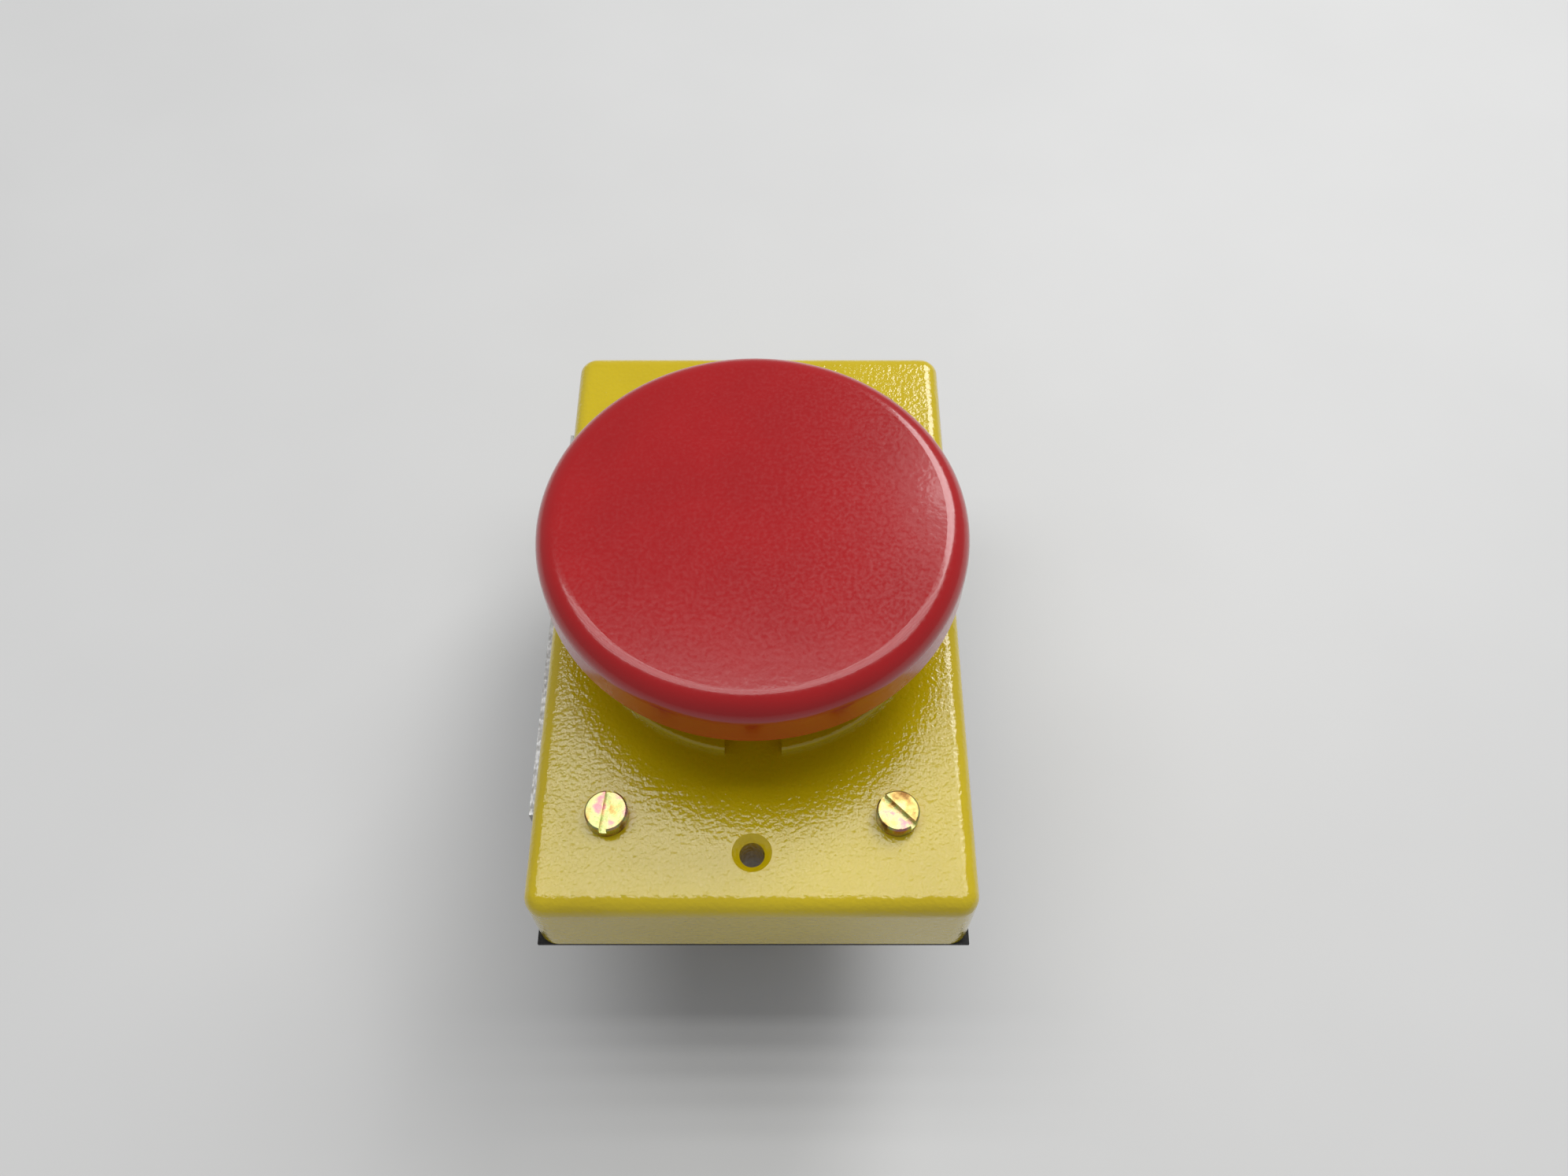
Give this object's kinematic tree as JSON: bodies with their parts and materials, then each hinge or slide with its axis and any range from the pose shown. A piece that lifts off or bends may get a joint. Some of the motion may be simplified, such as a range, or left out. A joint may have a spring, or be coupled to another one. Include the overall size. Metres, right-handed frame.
{
  "type": "pedestrian push button",
  "caption": "Red palm-head push button on a yellow rectangular cover with slotted screws, spring return, frame and two-circuit contact block.",
  "frame": {"origin": "on the plunger's axis, in the plane of the cover's open rim, midway between the two box screw holes", "axes": "+Z out of the cover towards the palm, +Y up the cover's long side, +X along its short side to the right"},
  "size_m": [0.0735, 0.115, 0.0795],
  "materials": {
    "cover_paint": "glossy yellow enamel with orange peel",
    "head_red": "glossy red moulding with light orange peel",
    "gasket_rubber": "matt black rubber",
    "wiper_rubber": "matt black rubber",
    "buffer_rubber": "matt black rubber",
    "plate_aluminium": "bare rolled aluminium",
    "bushing_bronze": "turned bearing bronze",
    "chromated_steel": "yellow zinc chromate, iridescent",
    "zinc_steel": "bright zinc plate",
    "frame_steel": "zinc-plated pressed steel",
    "ground_green": "green lacquered screw",
    "spring_steel": "drawn spring wire",
    "block_phenolic": "dark phenolic moulding",
    "lid_phenolic": "dark phenolic moulding",
    "contact_brass": "pressed contact brass",
    "tip_silver": "silver alloy",
    "terminal_steel": "nickel-plated steel",
    "dark_steel": "blackened steel",
    "stem_steel": "ground stainless steel",
    "carrier_plastic": "ivory moulding"
  },
  "bodies": {
    "housing": {"cover": "cover_paint", "cover_gasket": "gasket_rubber", "rating_plate": "plate_aluminium", "guide_bushing": "bushing_bronze", "stem_wiper": "wiper_rubber", "cover_screws": "chromated_steel", "frame_lock_washers": "zinc_steel", "frame_nuts": "zinc_steel", "switch_frame": "frame_steel", "ground_screw": "ground_green", "ground_washer": "zinc_steel", "return_spring": "spring_steel", "contact_block_base": "block_phenolic", "contact_block_lid": "lid_phenolic", "block_screws": "zinc_steel", "block_nuts": "zinc_steel", "fixed_contacts_nc": "contact_brass", "fixed_contacts_no": "contact_brass", "fixed_contact_tips": "tip_silver", "terminal_screws": "terminal_steel", "terminal_clamps": "zinc_steel", "carrier_spring": "spring_steel"},
    "plunger": {"palm_head": "head_red", "head_grub_screw": "dark_steel", "plunger_stem": "stem_steel", "buffer_washer": "buffer_rubber", "stop_washer": "zinc_steel", "retaining_ring": "dark_steel", "upper_spring_seat": "zinc_steel"},
    "carrier": {"contact_carrier": "carrier_plastic", "bridge_nc": "contact_brass", "bridge_no": "contact_brass", "moving_contact_tips": "tip_silver", "bridge_springs": "spring_steel"}
  },
  "joints": [
    {"name": "palm_press", "type": "slide", "parent": "housing", "child": "plunger", "axis": [0, 0, -1], "range_m": [0, 0.005], "stiffness_N_per_m": 1200, "springref_m": -0.012, "deforming": ["return_spring"]},
    {"name": "carrier_slide", "type": "slide", "parent": "housing", "child": "carrier", "axis": [0, 0, -1], "range_m": [0, 0.005], "stiffness_N_per_m": 150, "springref_m": -0.008, "deforming": ["carrier_spring"]}
  ],
  "couplings": [
    {"joint": "carrier_slide", "follows": "palm_press", "ratio": 1}
  ]
}
